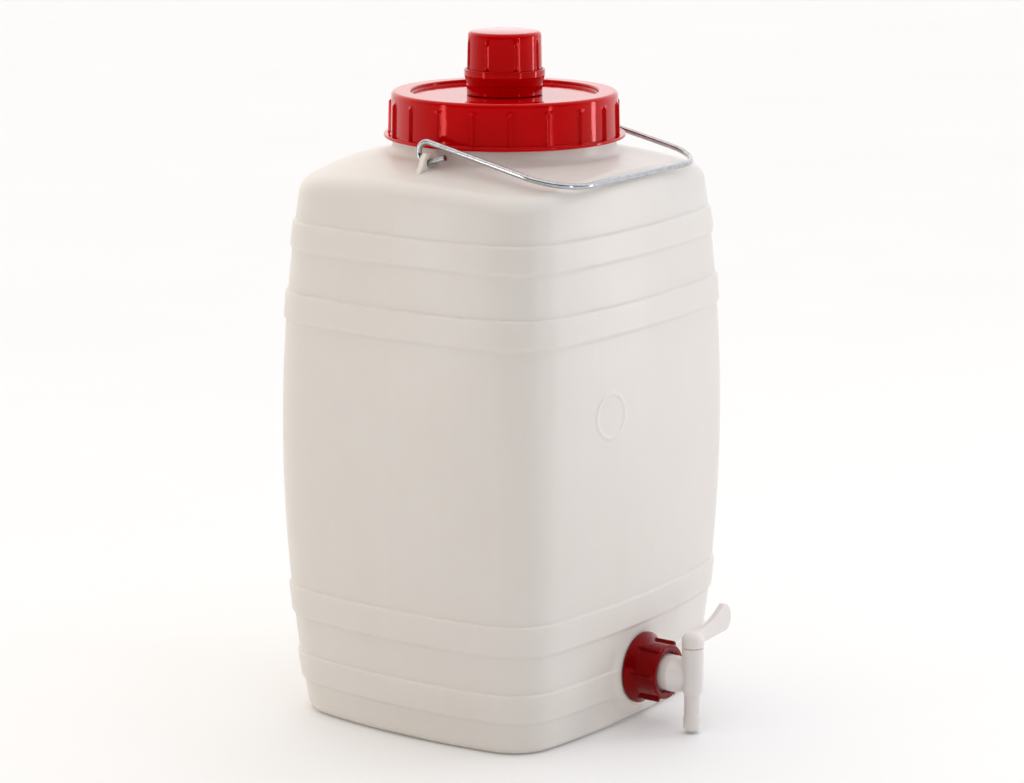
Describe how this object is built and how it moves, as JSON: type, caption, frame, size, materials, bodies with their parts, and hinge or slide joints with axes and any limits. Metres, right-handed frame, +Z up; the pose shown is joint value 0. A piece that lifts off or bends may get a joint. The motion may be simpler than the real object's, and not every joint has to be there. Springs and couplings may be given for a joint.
{
  "type": "fermenting barrel",
  "caption": "Upright translucent plastic fermenting barrel with a red screw lid, airlock cap, wire bail and a plug tap held by a red union nut.",
  "frame": {"origin": "centre of the barrel's flat base, on the surface that it stands on", "axes": "+Z up along the neck's axis, -Y out of the tap, +X and -X towards the bail's two lugs"},
  "size_m": [0.2748, 0.2854, 0.4715],
  "materials": {
    "natural_hdpe": "natural translucent blow-moulded polyethylene, satin",
    "red_plastic": "glossy injection-moulded, bright red",
    "dark_red_plastic": "glossy injection-moulded, deep red",
    "tap_plastic": "natural milky injection-moulded, smooth",
    "clear_white_plastic": "milky white, smooth",
    "steel_wire": "bright zinc-plated drawn wire",
    "seal_rubber": "pale food-grade silicone rubber",
    "ring_rubber": "black O-ring rubber"
  },
  "bodies": {
    "barrel": {"barrel": "natural_hdpe"},
    "bail": {"bail": "steel_wire"},
    "lid_lift": {"lid_seal": "seal_rubber"},
    "lid": {"lid": "red_plastic"},
    "airlock_lift": {"airlock_seal": "seal_rubber"},
    "airlock": {"airlock_base": "red_plastic"},
    "bell": {"airlock_bell": "clear_white_plastic"},
    "cap": {"airlock_cap": "red_plastic"},
    "tap": {"tap_body": "tap_plastic", "tap_seal": "seal_rubber"},
    "nut": {"union_nut": "dark_red_plastic"},
    "plug": {"tap_plug": "tap_plastic", "plug_ring_upper": "ring_rubber", "plug_ring_lower": "ring_rubber"}
  },
  "joints": [
    {"name": "bail_swing", "type": "hinge", "parent": "barrel", "child": "bail", "pos_m": [0, 0, 0.3985], "axis": [-1, 0, 0], "range_deg": [0, 180]},
    {"name": "lid_rise", "type": "slide", "parent": "barrel", "child": "lid_lift", "axis": [0, 0, 1], "range_m": [0, 0.048]},
    {"name": "lid_turn", "type": "hinge", "parent": "lid_lift", "child": "lid", "pos_m": [0, 0, 0.4], "axis": [0, 0, 1], "range_deg": [0, 1440]},
    {"name": "airlock_rise", "type": "slide", "parent": "lid", "child": "airlock_lift", "axis": [0, 0, 1], "range_m": [0, 0.016]},
    {"name": "airlock_turn", "type": "hinge", "parent": "airlock_lift", "child": "airlock", "pos_m": [0, 0, 0.426], "axis": [0, 0, 1], "range_deg": [0, 1440]},
    {"name": "bell_float", "type": "slide", "parent": "airlock", "child": "bell", "axis": [0, 0, 1], "range_m": [0, 0.005]},
    {"name": "cap_lift", "type": "slide", "parent": "airlock", "child": "cap", "axis": [0, 0, 1], "range_m": [0, 0.03]},
    {"name": "tap_out", "type": "slide", "parent": "barrel", "child": "tap", "axis": [0, -1, 0], "range_m": [0, 0.02]},
    {"name": "nut_turn", "type": "hinge", "parent": "tap", "child": "nut", "pos_m": [0, -0.1158, 0.0398], "axis": [0, -1, 0], "range_deg": [0, 1440]},
    {"name": "tap_turn", "type": "hinge", "parent": "tap", "child": "plug", "pos_m": [0, -0.157, 0.0398], "axis": [0, 0, -1], "range_deg": [0, 90]}
  ],
  "couplings": [
    {"joint": "lid_rise", "follows": "lid_turn", "m_per_rad": 0.0019099},
    {"joint": "airlock_rise", "follows": "airlock_turn", "m_per_rad": 0.00063662},
    {"joint": "tap_out", "follows": "nut_turn", "m_per_rad": 0.00079577}
  ]
}
